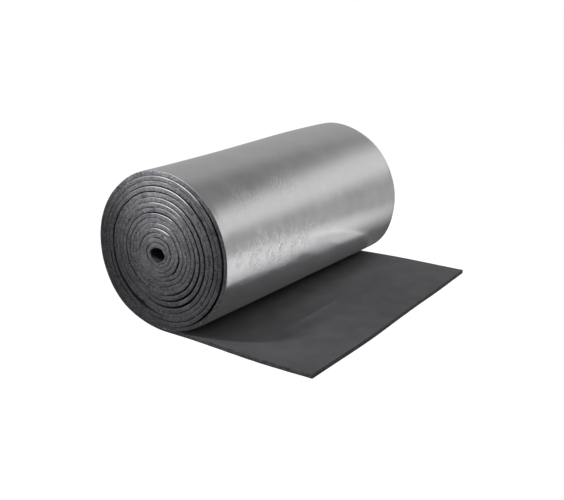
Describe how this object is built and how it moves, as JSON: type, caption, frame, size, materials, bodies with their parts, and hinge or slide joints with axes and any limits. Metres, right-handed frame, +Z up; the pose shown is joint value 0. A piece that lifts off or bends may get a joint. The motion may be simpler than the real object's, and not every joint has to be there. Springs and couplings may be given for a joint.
{
  "type": "insulation roll",
  "caption": "Roll of dark foam insulation sheet faced with foil, lying on its side with its outer end unrolled flat and an open bore.",
  "frame": {"origin": "on the floor, under the middle of the part's footprint", "axes": "+Z up, +Y along the roll's axis, +X from the roll toward the loose end"},
  "size_m": [0.7652, 1, 0.4902],
  "materials": {
    "foam": "matte closed-cell foam",
    "foil": "satin, finely crinkled"
  },
  "bodies": {
    "root": {"foam_sheet": "foam", "foil_facing": "foil"}
  },
  "joints": []
}
